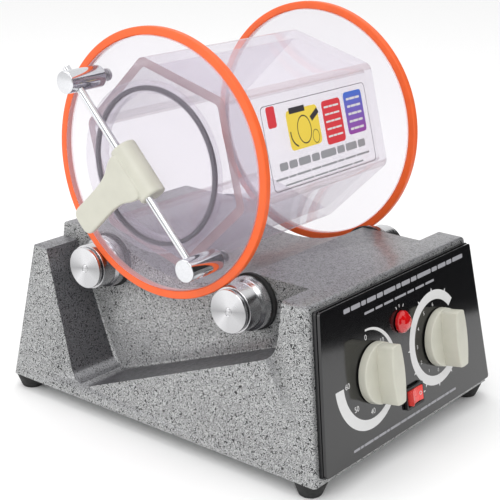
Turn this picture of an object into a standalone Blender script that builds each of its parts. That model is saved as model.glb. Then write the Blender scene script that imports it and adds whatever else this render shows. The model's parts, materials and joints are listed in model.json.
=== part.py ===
"""Rotary rock tumbler with a clear hexagonal barrel on four driven spools.

Metres, +Z up. The control panel faces -Y, and the barrel and both roller shafts lie along X, with
the barrel's lid on the -X end. The origin is under the middle of the object's box, on the ground.
Neighbouring pieces keep a small gap, so no two solids touch.
"""
import math

import bmesh
import bpy
from mathutils import Matrix, Vector

# ---------------------------------------------------------------- driving sizes
GAP = 0.0003                    # between pieces that touch on the real machine
CENTRE_SHIFT = (0.0050, 0.0072)  # from the housing's centre to the origin

# housing: a tapered casting
FOOT_HEIGHT = 0.0105
BODY_BASE = FOOT_HEIGHT
BODY_HEIGHT = 0.111
BODY_TOP = BODY_BASE + BODY_HEIGHT
HALF_WIDTH = 0.109
HALF_LENGTH = 0.138
SIDE_DRAFT = 0.125              # inward run for each metre of height
PANEL_DRAFT = 0.1777
END_DRAFT = 0.1313
EDGE_BEVEL = 0.0025
WALL = 0.005
CORE_HALF_WIDTH = 0.0661        # middle block between the two pockets
POST_TOP = 0.110                # top of the low far corners
LEDGE_HEIGHT = 0.0455           # pocket floor where y = 0
LEDGE_SLOPE = -0.40
POCKET_PANEL_END = -0.0985
POCKET_FAR_END = 0.1105         # at the height POST_TOP
POCKET_FAR_DRAFT = 0.407
SADDLE_RADIUS = 0.1085
SADDLE_LOW = 0.1025
FLOOR_CLEAR = 0.0128            # underside of everything that stands on the base plate
HOLLOW_FLOOR = FLOOR_CLEAR - 0.001
RIM_WALL = 0.004                # around the recess that takes the base plate
PLATE_BOTTOM = 0.0109
PLATE_TOP = 0.0125

# barrel and rollers, all along X
BARREL_Y = 0.0105
BARREL_Z = 0.1863
ROLLER_OFFSET_Y = 0.065
ROLLER_Z = 0.1028
SHAFT_RADIUS = 0.005
SHAFT_HALF_LENGTH = 0.0877
SPOOL_GROOVE_RADIUS = 0.0157
SPOOL_BACK_RADIUS = 0.018
SPOOL_CAP_RADIUS = 0.0146
SPOOL_END = 0.0933
SPOOL_BACK = 0.0695
WASHER_RADIUS = 0.0195
BEARING_RADIUS = 0.011
HEX_RADIUS = 0.0715             # across corners, halved
HEX_WALL = 0.006
HEX_TURN = math.radians(15)
FLANGE_INNER = 0.0825           # distance of the flange's inner face from the middle
FLANGE_OUTER = 0.0885
FLANGE_RADIUS = 0.084
RING_RADIUS = 0.0898
RING_HALF_WIDTH = 0.0025
RING_PLACE = 0.0855
PORT_RADIUS = 0.0485
LID_OUTER = 0.0968
LID_RADIUS = 0.0565
SEAL_INNER = 0.0497
SEAL_OUTER = 0.0529
LID_PLUG_RADIUS = 0.0475

# clamp on the lid
CLAMP_ANGLE = math.radians(46)  # of the rod, from +Y up
POST_CIRCLE = 0.073
POST_RADIUS = 0.0075
POST_END = 0.1195
ROD_X = -0.1105
ROD_RADIUS = 0.0026
ROD_LOW = -0.0800
ROD_HIGH = 0.0840
CAM_RADIUS = 0.0089
CAM_OFFSET = 0.0045
CAM_HALF_LENGTH = 0.0195
LEVER_REACH = 0.064
LEVER_OUTER = -0.0065           # past the rod, away from the lid
LEVER_THICKNESS = 0.005
SCREW_RADIUS = 0.0022

# control panel, measured up its slope from the casting's lower edge
PANEL_TILT = math.atan(PANEL_DRAFT)
KNOB_X = 0.040
KNOB_UP = 0.055
KNOB_RADIUS = 0.0205
KNOB_BASE = 0.0063
KNOB_SKIRT_TOP = 0.012
KNOB_TOP = 0.0245
KNOB_BAR_HALF_WIDTH = 0.0046      # at the bar's ends
KNOB_BAR_BULGE = 0.0022          # more than that at its middle
SPINDLE_RADIUS = 0.003
LAMP_X = -0.0052
LAMP_UP = 0.079
SWITCH_X = 0.0005
SWITCH_UP = 0.0255
SWITCH_SIZE = (0.0215, 0.0150)
ROCKER_TILT = math.radians(8)
ROCKER_PIVOT = 0.002
BACKPLATE = (0.0003, 0.0031)
FACEPLATE = (0.0034, 0.0056)

# drive train inside the housing
MOTOR_Y = 0.027
MOTOR_Z = 0.052
MOTOR_RADIUS = 0.024
BELT_X = 0.047
BELT_HALF_WIDTH = 0.0025
BELT_THICKNESS = 0.0025
MOTOR_PULLEY_RADIUS = 0.005
DRIVEN_PULLEY_RADIUS = 0.0095
PULLEY_RIM = 0.003

FOOT_X = 0.098
FOOT_NEAR_Y = -0.127
FOOT_FAR_Y = 0.130
FOOT_TOP_RADIUS = 0.0115
FOOT_BOTTOM_RADIUS = 0.0075

FINE = 56
ROUND = 28
SMALL = 16


# ---------------------------------------------------------------- helpers
def clear_scene():
    for old in list(bpy.data.objects):
        bpy.data.objects.remove(old, do_unlink=True)


def make_material(name, color, roughness, metallic=0.0, alpha=1.0):
    mat = bpy.data.materials.new(name)
    mat.use_nodes = True
    shader = mat.node_tree.nodes["Principled BSDF"]
    shader.inputs["Base Color"].default_value = (*color, 1.0)
    shader.inputs["Roughness"].default_value = roughness
    shader.inputs["Metallic"].default_value = metallic
    shader.inputs["Alpha"].default_value = alpha
    mat.diffuse_color = (*color, alpha)
    return mat


def add_empty(name, parent=None, location=(0, 0, 0), turn_x=0.0):
    empty = bpy.data.objects.new(name, None)
    bpy.context.scene.collection.objects.link(empty)
    empty.parent = parent
    empty.location = location
    empty.rotation_euler = (turn_x, 0, 0)
    return empty


def add_mesh(name, bm, mat, parent=None, location=(0, 0, 0)):
    """Turns a bmesh into a named object with one material."""
    bmesh.ops.recalc_face_normals(bm, faces=bm.faces)
    mesh = bpy.data.meshes.new(name)
    bm.to_mesh(mesh)
    bm.free()
    if mat:
        mesh.materials.append(mat)
    piece = bpy.data.objects.new(name, mesh)
    bpy.context.scene.collection.objects.link(piece)
    piece.parent = parent
    piece.location = location
    return piece


def as_cutter(piece):
    piece.display_type = "WIRE"
    piece.hide_render = True
    piece.hide_viewport = False
    return piece


def combine(target, tool, operation):
    """Adds a Boolean to target, and marks the tool as a helper."""
    as_cutter(tool)
    step = target.modifiers.new(tool.name, "BOOLEAN")
    step.operation = operation
    step.object = tool
    step.solver = "EXACT"


def cut(target, *tools):
    for tool in tools:
        combine(target, tool, "DIFFERENCE")


def join(target, *tools):
    for tool in tools:
        combine(target, tool, "UNION")


def rounded_outline(corners, radii, steps=5):
    """Points of a closed outline whose corners are arcs of the given radii (0 keeps a corner)."""
    points = []
    count = len(corners)
    for i, radius in enumerate(radii):
        here = Vector(corners[i])
        if radius <= 0:
            points.append(tuple(here))
            continue
        before = (Vector(corners[i - 1]) - here).normalized()
        after = (Vector(corners[(i + 1) % count]) - here).normalized()
        half = before.angle(after) / 2
        centre = here + (before + after).normalized() * radius / math.sin(half)
        first = here + before * radius / math.tan(half) - centre
        last = here + after * radius / math.tan(half) - centre
        sweep = first.angle_signed(last)
        for k in range(steps + 1):
            arm = first.copy()
            arm.rotate(Matrix.Rotation(-sweep * k / steps, 2))
            points.append(tuple(centre + arm))
    return points


def to_plane(plane, a, b, c):
    """A point from outline coordinates a, b and depth c. The plane names where a and b lie."""
    if plane == "YZ":
        return (c, a, b)
    if plane == "XZ":
        return (a, c, b)
    return (a, b, c)


def prism_bm(outline, low, high, plane="YZ"):
    """A closed solid: an outline extruded between two depths."""
    bm = bmesh.new()
    ends = []
    for depth in (low, high):
        ends.append([bm.verts.new(to_plane(plane, a, b, depth)) for a, b in outline])
    count = len(outline)
    for i in range(count):
        j = (i + 1) % count
        bm.faces.new((ends[0][i], ends[0][j], ends[1][j], ends[1][i]))
    bm.faces.new(ends[0][::-1])
    bm.faces.new(ends[1])
    return bm


def tube_bm(outer, inner, low, high, plane="YZ"):
    """A closed solid between two outlines of equal length, extruded between two depths."""
    bm = bmesh.new()
    loops = []
    for outline in (outer, inner):
        for depth in (low, high):
            loops.append([bm.verts.new(to_plane(plane, a, b, depth)) for a, b in outline])
    outer_low, outer_high, inner_low, inner_high = loops
    count = len(outer)
    for i in range(count):
        j = (i + 1) % count
        bm.faces.new((outer_low[i], outer_low[j], outer_high[j], outer_high[i]))
        bm.faces.new((inner_low[j], inner_low[i], inner_high[i], inner_high[j]))
        bm.faces.new((outer_high[i], outer_high[j], inner_high[j], inner_high[i]))
        bm.faces.new((outer_low[j], outer_low[i], inner_low[i], inner_low[j]))
    return bm


def turned_bm(profile, segments=ROUND, axis="Z", closed=False):
    """Revolves (along, radius) points about an axis. A closed profile makes a ring."""
    bm = bmesh.new()
    if axis == "X":
        verts = [bm.verts.new((along, 0, radius)) for along, radius in profile]
        spin_axis = (1, 0, 0)
    elif axis == "Y":
        verts = [bm.verts.new((0, along, radius)) for along, radius in profile]
        spin_axis = (0, 1, 0)
    else:
        verts = [bm.verts.new((radius, 0, along)) for along, radius in profile]
        spin_axis = (0, 0, 1)
    edges = [bm.edges.new(pair) for pair in zip(verts, verts[1:])]
    if closed:
        edges.append(bm.edges.new((verts[-1], verts[0])))
    bmesh.ops.spin(bm, geom=verts + edges, cent=(0, 0, 0), axis=spin_axis,
                   angle=math.tau, steps=segments, use_merge=True)
    bmesh.ops.remove_doubles(bm, verts=bm.verts, dist=0.000001)
    return bm


def disc_profile(low, high, radius):
    return [(low, 0), (low, radius), (high, radius), (high, 0)]


def ring_profile(low, high, inner, outer):
    return [(low, inner), (low, outer), (high, outer), (high, inner)]


def box_bm(low, high):
    bm = bmesh.new()
    bmesh.ops.create_cube(bm, size=1.0)
    centre = (Vector(low) + Vector(high)) / 2
    size = Vector(high) - Vector(low)
    for v in bm.verts:
        v.co = centre + Vector((v.co.x * size.x, v.co.y * size.y, v.co.z * size.z))
    return bm


def tapered_box_bm(bottom, top, inset=0.0):
    """The casting's outer form between two heights, drawn in by inset on every side."""
    bm = bmesh.new()
    rings = []
    for z in (bottom, top):
        rise = z - BODY_BASE
        x = HALF_WIDTH - SIDE_DRAFT * rise - inset
        near = -HALF_LENGTH + PANEL_DRAFT * rise + inset
        far = HALF_LENGTH - END_DRAFT * rise - inset
        rings.append([bm.verts.new(p) for p in ((-x, near, z), (x, near, z), (x, far, z), (-x, far, z))])
    for i in range(4):
        j = (i + 1) % 4
        bm.faces.new((rings[0][i], rings[0][j], rings[1][j], rings[1][i]))
    bm.faces.new(rings[0][::-1])
    bm.faces.new(rings[1])
    return bm


# ---------------------------------------------------------------- housing
def ledge_z(y, drop=0.0):
    return LEDGE_HEIGHT + LEDGE_SLOPE * y - drop


def pocket_far_y(z):
    return POCKET_FAR_END - (POST_TOP - z) * POCKET_FAR_DRAFT


def meet_ledge():
    """Where the pocket's far wall meets the sloping ledge."""
    base = POCKET_FAR_END - POST_TOP * POCKET_FAR_DRAFT
    y = (base + POCKET_FAR_DRAFT * LEDGE_HEIGHT) / (1 - POCKET_FAR_DRAFT * LEDGE_SLOPE)
    return y, ledge_z(y)


def pocket_outline():
    above = BODY_TOP + 0.03
    corners = [
        (POCKET_PANEL_END, above),
        (POCKET_PANEL_END, ledge_z(POCKET_PANEL_END)),
        meet_ledge(),
        (pocket_far_y(above), above),
    ]
    return rounded_outline(corners, [0, 0.016, 0.014, 0])


def saddle_points(radius, low, steps=12):
    """The arc of the saddle, from its panel side to its far side, up to the casting's top."""
    centre_z = low + radius
    half = math.acos((centre_z - BODY_TOP) / radius)
    points = []
    for k in range(steps + 1):
        angle = -half + 2 * half * k / steps
        points.append((BARREL_Y + radius * math.sin(angle), centre_z - radius * math.cos(angle)))
    return points


def near_wall(z, inset=WALL):
    return -HALF_LENGTH + PANEL_DRAFT * (z - BODY_BASE) + inset


def far_wall(z, inset=WALL):
    return HALF_LENGTH - END_DRAFT * (z - BODY_BASE) - inset


def core_hollow_outline():
    roof = BODY_TOP - WALL
    arc = [(y, z - WALL) for y, z in saddle_points(SADDLE_RADIUS, SADDLE_LOW)]
    return ([(near_wall(0.0), 0.0), (near_wall(roof), roof)] + arc
            + [(far_wall(roof), roof), (far_wall(0.0), 0.0)])


def side_hollow_outline():
    """The space under the pocket's ledge and behind the panel, clear of the corner bosses."""
    roof = BODY_TOP - WALL
    boss_y = -0.112
    boss_top = 0.040
    inner_y = POCKET_PANEL_END - WALL
    end_y = 0.066
    return [
        (boss_y, HOLLOW_FLOOR), (boss_y, boss_top), (near_wall(boss_top), boss_top),
        (near_wall(roof), roof), (inner_y, roof), (inner_y, ledge_z(inner_y, WALL + 0.0006)),
        (end_y, ledge_z(end_y, WALL + 0.0006)), (end_y, HOLLOW_FLOOR),
    ]


def post_hollow_outline():
    """The space inside a low far corner, clear of its boss."""
    boss_y = 0.114
    boss_top = 0.040
    roof = POST_TOP - WALL
    wall = WALL + 0.0006
    return [
        (pocket_far_y(HOLLOW_FLOOR) + wall, HOLLOW_FLOOR), (boss_y, HOLLOW_FLOOR), (boss_y, boss_top),
        (far_wall(boss_top), boss_top), (far_wall(roof), roof), (pocket_far_y(roof) + wall, roof),
    ]


def side_tools(side):
    """Cutters for the pocket, the low far corner and the hollows on one side."""
    tag = "lid_side" if side < 0 else "rear_side"
    inner = side * CORE_HALF_WIDTH
    outer = side * 0.13
    pocket = add_mesh("cut_pocket_" + tag, prism_bm(pocket_outline(), inner, outer), None)
    corner = add_mesh("cut_corner_" + tag, box_bm(
        (min(inner, outer), 0.09, POST_TOP), (max(inner, outer), 0.16, BODY_TOP + 0.02)), None)
    hollows = []
    for label, outline in (("side", side_hollow_outline()), ("post", post_hollow_outline())):
        start = side * (CORE_HALF_WIDTH - WALL - 0.001)
        hollow = add_mesh("cut_%s_hollow_%s" % (label, tag), prism_bm(outline, start, outer), None)
        limit = add_mesh("limit_%s_%s" % (label, tag), tapered_box_bm(0.0, BODY_TOP, WALL), None)
        combine(hollow, limit, "INTERSECT")
        hollows.append(hollow)
    return [pocket, corner] + hollows


def make_housing(root, panel, far_face, mats):
    bm = tapered_box_bm(BODY_BASE, BODY_TOP)
    edges = [e for e in bm.edges if (e.verts[0].co.z + e.verts[1].co.z) > 2.1 * BODY_BASE]
    bmesh.ops.bevel(bm, geom=edges, offset=EDGE_BEVEL, segments=3, profile=0.5, affect="EDGES")
    housing = add_mesh("housing", bm, mats["hammertone"], root)

    saddle = turned_bm(disc_profile(-0.13, 0.13, SADDLE_RADIUS), 80, "X")
    saddle = add_mesh("cut_saddle", saddle, None, root, (0, BARREL_Y, SADDLE_LOW + SADDLE_RADIUS))
    core_half = CORE_HALF_WIDTH - WALL
    core = add_mesh("cut_core", prism_bm(core_hollow_outline(), -core_half, core_half), None, root)
    recess = add_mesh("cut_base_recess", tapered_box_bm(0.0, FLOOR_CLEAR, RIM_WALL), None, root)
    cut(housing, recess, saddle)
    for side in (-1, 1):
        tools = side_tools(side)
        for tool in tools:
            tool.parent = root
            for step in tool.modifiers:
                step.object.parent = root
                as_cutter(step.object)
        cut(housing, *tools)
    gland_hole = turned_bm(disc_profile(-0.012, 0.004, 0.0065 + GAP), SMALL)
    cut(housing, add_mesh("cut_gland_hole", gland_hole, None, far_face), core)

    for label, y in (("drive", -ROLLER_OFFSET_Y), ("idler", ROLLER_OFFSET_Y)):
        hole = turned_bm(disc_profile(-0.08, 0.08, BEARING_RADIUS + GAP), ROUND, "X")
        cut(housing, add_mesh("cut_%s_hole" % label, hole, None, root, (0, BARREL_Y + y, ROLLER_Z)))
    for name, x, y in foot_places():
        hole = turned_bm(disc_profile(0.0, 0.028, SCREW_RADIUS + GAP), SMALL)
        cut(housing, add_mesh("cut_boss_" + name, hole, None, root, (x, y, 0)))
    cut(housing, *panel_holes("housing", panel, -0.012, 0.006))


def foot_places():
    places = []
    for end, y in (("front", FOOT_NEAR_Y), ("far", FOOT_FAR_Y)):
        for side, x in (("left", -FOOT_X), ("right", FOOT_X)):
            places.append(("%s_%s" % (end, side), x, y))
    return places


def make_base(root, mats):
    """Base plate, rubber feet and the screws that hold them."""
    plate = tapered_box_bm(PLATE_BOTTOM, PLATE_TOP, RIM_WALL + GAP)
    plate = add_mesh("base_plate", plate, mats["zinc_steel"], root)
    for name, x, y in foot_places():
        hole = turned_bm(disc_profile(0.0, 0.02, SCREW_RADIUS + GAP), SMALL)
        cut(plate, add_mesh("cut_plate_" + name, hole, None, root, (x, y, 0)))
        top = FOOT_HEIGHT - GAP
        foot = turned_bm([(0, 0.0046), (0, FOOT_BOTTOM_RADIUS - 0.001), (0.001, FOOT_BOTTOM_RADIUS),
                          (top - 0.001, FOOT_TOP_RADIUS), (top, FOOT_TOP_RADIUS - 0.0005),
                          (top, 0.0026), (0.0045, 0.0026), (0.0045, 0.0046)], 20, "Z", True)
        add_mesh("foot_" + name, foot, mats["black_rubber"], root, (x, y, 0))
        screw = turned_bm([(0.0012, 0), (0.0012, 0.0034), (0.0017, 0.004), (0.0041, 0.004),
                           (0.0041, SCREW_RADIUS), (0.026, SCREW_RADIUS), (0.026, 0)], 12)
        add_mesh("foot_screw_" + name, screw, mats["zinc_steel"], root, (x, y, 0))


# ---------------------------------------------------------------- control panel
def panel_holes(tag, panel, low, high):
    """Cutters for the two spindles, the lamp and the switch, through one layer."""
    tools = []
    for name, x, up, radius in (("timer", -KNOB_X, KNOB_UP, 0.0052), ("speed", KNOB_X, KNOB_UP, 0.0052),
                                ("lamp", LAMP_X, LAMP_UP, 0.0050)):
        bm = turned_bm(disc_profile(low, high, radius), SMALL)
        tools.append(add_mesh("cut_%s_%s" % (tag, name), bm, None, panel, (x, up, 0)))
    half_x = SWITCH_SIZE[0] / 2 - 0.0007
    half_up = SWITCH_SIZE[1] / 2 - 0.0007
    bm = box_bm((-half_x, -half_up, low), (half_x, half_up, high))
    tools.append(add_mesh("cut_%s_switch" % tag, bm, None, panel, (SWITCH_X, SWITCH_UP, 0)))
    return tools


def panel_outline(inset=0.0):
    low = 0.0045 + inset
    high = 0.1095 - inset
    return rounded_outline([(-0.1035 + inset, low), (0.1035 - inset, low), (0.0920 - inset, high),
                            (-0.0920 + inset, high)], [0.002] * 4, 3)


def make_panel(panel, mats):
    for name, (low, high), inset, mat in (("panel_backplate", BACKPLATE, 0.0, "black_acrylic"),
                                          ("panel_face", FACEPLATE, 0.0006, "gloss_black")):
        plate = add_mesh(name, prism_bm(panel_outline(inset), low, high, "XY"), mats[mat], panel)
        cut(plate, *panel_holes(name, panel, low - 0.002, high + 0.002))


def grip_bar_outline(steps=6):
    """The bar across a knob's skirt: widest in the middle, with its ends on the skirt's edge."""
    tip = KNOB_RADIUS - 0.0006
    corner = math.sqrt(tip * tip - KNOB_BAR_HALF_WIDTH ** 2)
    side = []
    for k in range(steps + 1):
        share = 2 * k / steps - 1
        side.append((KNOB_BAR_HALF_WIDTH + KNOB_BAR_BULGE * (1 - share * share), share * corner))
    return side + [(0, tip)] + [(-x, -y) for x, y in side] + [(0, -tip)]


def make_knob(name, axis, mats):
    """A round skirt with a grip bar across it, bored for its spindle."""
    skirt = turned_bm([(KNOB_BASE, 0), (KNOB_BASE, KNOB_RADIUS), (KNOB_SKIRT_TOP - 0.001, KNOB_RADIUS),
                       (KNOB_SKIRT_TOP, KNOB_RADIUS - 0.001), (KNOB_SKIRT_TOP, 0)], 40)
    knob = add_mesh(name, skirt, mats["ivory_plastic"], axis)
    bar = prism_bm(grip_bar_outline(), KNOB_SKIRT_TOP - 0.002, KNOB_TOP, "XY")
    bar = add_mesh("tool_bar_" + name, bar, None, axis)
    bore = turned_bm(disc_profile(0.0, 0.0185, SPINDLE_RADIUS + GAP), SMALL)
    join(knob, bar)
    cut(knob, add_mesh("cut_bore_" + name, bore, None, axis))


def make_spindle(name, axis, mats):
    bm = turned_bm(disc_profile(-0.017, 0.018, SPINDLE_RADIUS), SMALL)
    add_mesh(name, bm, mats["brass"], axis)


def make_controls(panel, mats):
    timer_axis = add_empty("timer_axis", panel, (-KNOB_X, KNOB_UP, 0))
    speed_axis = add_empty("speed_axis", panel, (KNOB_X, KNOB_UP, 0))
    make_knob("timer_knob", timer_axis, mats)
    make_knob("speed_knob", speed_axis, mats)
    make_spindle("timer_spindle", timer_axis, mats)
    make_spindle("speed_spindle", speed_axis, mats)

    bush = [(-0.0058, 0.0047), (0.0054, 0.0047), (0.0054, 0.0034)]
    back = -0.0305
    bm = turned_bm([(-0.0178, 0), (-0.0178, 0.0034), (0.0054, 0.0034), (0.0054, 0.0047),
                    (-0.0060, 0.0047), (-0.0060, 0.012), (back, 0.012), (back, 0)], SMALL)
    timer = add_mesh("timer_unit", bm, mats["dark_plastic"], timer_axis)
    case = prism_bm(rounded_outline([(-0.018, -0.020), (0.018, -0.020), (0.018, 0.020), (-0.018, 0.020)],
                                    [0.003] * 4, 2), back + 0.001, -0.0190, "XY")
    join(timer, add_mesh("tool_timer_case", case, None, timer_axis))
    bm = turned_bm([(-0.0178, 0), (-0.0178, bush[2][1]), bush[2], bush[1], (-0.0060, 0.0047),
                    (-0.0060, 0.0125), (-0.0200, 0.0125), (-0.0200, 0)], SMALL)
    add_mesh("speed_control", bm, mats["zinc_steel"], speed_axis)

    lamp = add_empty("lamp_axis", panel, (LAMP_X, LAMP_UP, 0))
    bm = turned_bm(disc_profile(-0.016, 0.0059, 0.0046), SMALL)
    add_mesh("lamp_body", bm, mats["dark_plastic"], lamp)
    lens = turned_bm([(0.0062, 0), (0.0062, 0.0078), (0.0085, 0.0078), (0.0100, 0.0062),
                      (0.0118, 0.0045), (0.0124, 0)], 24)
    add_mesh("lamp_lens", lens, mats["red_lens"], lamp)


def make_switch(panel, mats):
    """A rocker in its frame. It rests with its right half pressed in."""
    place = add_empty("switch_place", panel, (SWITCH_X, SWITCH_UP, 0))
    half_x, half_up = SWITCH_SIZE[0] / 2, SWITCH_SIZE[1] / 2
    rim = rounded_outline([(-half_x, -half_up), (half_x, -half_up), (half_x, half_up), (-half_x, half_up)],
                          [0.0012] * 4, 2)
    frame = add_mesh("switch_frame", prism_bm(rim, 0.0059, 0.0079, "XY"), mats["dark_plastic"], place)
    body = box_bm((-half_x + 0.001, -half_up + 0.001, -0.016), (half_x - 0.001, half_up - 0.001, 0.0065))
    well = box_bm((-0.0092, -0.0056, -0.0044), (0.0092, 0.0056, 0.0100))
    join(frame, add_mesh("tool_switch_body", body, None, place))
    cut(frame, add_mesh("cut_switch_well", well, None, place))
    pivot = add_empty("rocker_axis", place, (0, 0, ROCKER_PIVOT))
    reach = 0.0080
    outline = [(-reach, 0.0012), (-0.0045, -0.0028), (0.0045, -0.0028), (reach, 0.0012),
               (reach - 0.0002, 0.0076), (0, 0.0060), (-reach + 0.0002, 0.0076)]
    turned = [(a * math.cos(ROCKER_TILT) + b * math.sin(ROCKER_TILT),
               b * math.cos(ROCKER_TILT) - a * math.sin(ROCKER_TILT)) for a, b in outline]
    add_mesh("switch_rocker", prism_bm(turned, -0.0052, 0.0052, "XZ"), mats["red_plastic"], pivot)


# ---------------------------------------------------------------- rollers and drive
def belt_outline(small, large, start, end, steps=10):
    """The loop that a belt makes around a pulley at start and a pulley at end."""
    line = Vector(end) - Vector(start)
    heading = math.atan2(line.y, line.x)
    spread = math.acos((small - large) / line.length)
    points = []
    for centre, radius, first, last in ((start, small, heading + spread, heading + math.tau - spread),
                                        (end, large, heading - spread, heading + spread)):
        for k in range(steps + 1):
            angle = first + (last - first) * k / steps
            points.append((centre[0] + radius * math.cos(angle), centre[1] + radius * math.sin(angle)))
    return points


def pulley_profile(groove, bore):
    edge = BELT_HALF_WIDTH + 0.0005
    return [(-edge - 0.0015, bore), (-edge - 0.0015, groove + PULLEY_RIM), (-edge, groove + PULLEY_RIM),
            (-edge, groove), (edge, groove), (edge, groove + PULLEY_RIM),
            (edge + 0.0015, groove + PULLEY_RIM), (edge + 0.0015, bore)]


def make_roller(name, axis, root, y, mats):
    """One shaft with a spool on each end, its bearings and the rubber washers behind the spools."""
    add_mesh(name + "_shaft", turned_bm(disc_profile(-SHAFT_HALF_LENGTH, SHAFT_HALF_LENGTH, SHAFT_RADIUS),
                                        28, "X"), mats["steel"], axis)
    bore = SHAFT_RADIUS + GAP
    spool = [(SPOOL_END, 0), (SPOOL_END, SPOOL_CAP_RADIUS - 0.0005), (SPOOL_END - 0.0005, SPOOL_CAP_RADIUS),
             (0.0908, SPOOL_CAP_RADIUS), (0.0908, 0.013), (0.0897, 0.013), (0.0897, SPOOL_GROOVE_RADIUS),
             (0.0788, SPOOL_GROOVE_RADIUS), (0.0764, SPOOL_BACK_RADIUS), (SPOOL_BACK, SPOOL_BACK_RADIUS),
             (SPOOL_BACK, bore), (SHAFT_HALF_LENGTH + GAP, bore), (SHAFT_HALF_LENGTH + GAP, 0)]
    washer = ring_profile(CORE_HALF_WIDTH + GAP, SPOOL_BACK - GAP, bore + 0.0006, WASHER_RADIUS)
    inner = CORE_HALF_WIDTH - WALL + GAP
    bearing = ring_profile(inner, CORE_HALF_WIDTH - GAP, bore, BEARING_RADIUS)
    for tag, side in (("lid_side", -1), ("rear_side", 1)):
        mirrored = [[(side * a, r) for a, r in shape] for shape in (spool, washer, bearing)]
        add_mesh("%s_spool_%s" % (name, tag), turned_bm(mirrored[0], ROUND, "X"), mats["bright_steel"], axis)
        place = (0, y, ROLLER_Z)
        add_mesh("%s_washer_%s" % (name, tag), turned_bm(mirrored[1], 24, "X", True),
                 mats["black_rubber"], root, place)
        add_mesh("%s_bearing_%s" % (name, tag), turned_bm(mirrored[2], SMALL, "X", True),
                 mats["brass"], root, place)


def make_drive(root, drive_axis, mats):
    """Motor on its bracket, with a belt to the pulley on the drive shaft."""
    motor_axis = add_empty("motor_axis", root, (0, MOTOR_Y, MOTOR_Z))
    can = turned_bm([(-0.036, 0), (-0.036, 0.010), (-0.033, MOTOR_RADIUS - 0.002), (-0.030, MOTOR_RADIUS),
                     (0.027, MOTOR_RADIUS), (0.030, MOTOR_RADIUS - 0.003), (0.030, 0.008), (0.034, 0.008),
                     (0.034, 0.0028), (0.012, 0.0028), (0.012, 0)], 24, "X")
    add_mesh("motor", can, mats["motor_can"], root, (0, MOTOR_Y, MOTOR_Z))
    bracket = box_bm((-0.022, MOTOR_Y - 0.024, FLOOR_CLEAR), (0.020, MOTOR_Y + 0.024, MOTOR_Z - 0.006))
    bracket = add_mesh("motor_bracket", bracket, mats["aluminium"], root)
    seat = turned_bm(disc_profile(-0.04, 0.04, MOTOR_RADIUS + GAP), 24, "X")
    cut(bracket, add_mesh("cut_motor_seat", seat, None, root, (0, MOTOR_Y, MOTOR_Z)))
    shaft = turned_bm(disc_profile(0.0125, 0.053, 0.0025), 16, "X")
    add_mesh("motor_shaft", shaft, mats["steel"], motor_axis)
    pulley = turned_bm([(BELT_X + a, r) for a, r in pulley_profile(MOTOR_PULLEY_RADIUS, 0.0028)],
                       SMALL, "X", True)
    add_mesh("motor_pulley", pulley, mats["aluminium"], motor_axis)
    driven = turned_bm([(BELT_X + a, r) for a, r in pulley_profile(DRIVEN_PULLEY_RADIUS, SHAFT_RADIUS + GAP)],
                       24, "X", True)
    add_mesh("driven_pulley", driven, mats["aluminium"], drive_axis)
    start = (MOTOR_Y, MOTOR_Z)
    end = (BARREL_Y - ROLLER_OFFSET_Y, ROLLER_Z)
    inner, outer = [belt_outline(MOTOR_PULLEY_RADIUS + out, DRIVEN_PULLEY_RADIUS + out, start, end)
                    for out in (GAP, GAP + BELT_THICKNESS)]
    belt = tube_bm(outer, inner, BELT_X - BELT_HALF_WIDTH, BELT_X + BELT_HALF_WIDTH)
    add_mesh("drive_belt", belt, mats["black_rubber"], root)


def make_board(root, mats):
    """Circuit board on four legs, with its larger components."""
    board = add_mesh("circuit_board", box_bm((-0.050, -0.098, 0.0200), (0.022, -0.048, 0.0216)),
                     mats["green_board"], root)
    blocks = []
    for x in (-0.046, 0.018):
        for y in (-0.094, -0.052):
            blocks.append(((x - 0.0025, y - 0.0025, FLOOR_CLEAR), (x + 0.0025, y + 0.0025, 0.0205)))
    blocks.append(((-0.040, -0.088, 0.0210), (-0.022, -0.072, 0.0360)))
    blocks.append(((-0.010, -0.090, 0.0210), (0.008, -0.062, 0.0330)))
    for number, (low, high) in enumerate(blocks):
        join(board, add_mesh("tool_board_%d" % number, box_bm(low, high), None, root))


def make_gland(far_face, mats):
    gland = turned_bm([(-0.009, 0.0032), (-0.009, 0.0063), (GAP, 0.0063), (GAP, 0.0095), (0.0022, 0.0095),
                       (0.0022, 0.0060), (0.0040, 0.0048), (0.0040, 0.0032)], 24, "Z", True)
    add_mesh("cord_gland", gland, mats["dark_plastic"], far_face)


# ---------------------------------------------------------------- barrel
def hexagon(radius, corner_radius):
    corners = [(radius * math.cos(HEX_TURN + k * math.tau / 6), radius * math.sin(HEX_TURN + k * math.tau / 6))
               for k in range(6)]
    return rounded_outline(corners, [corner_radius] * 6, 4)


def post_place(sign):
    return (0, sign * POST_CIRCLE * math.cos(CLAMP_ANGLE), sign * POST_CIRCLE * math.sin(CLAMP_ANGLE))


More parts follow.
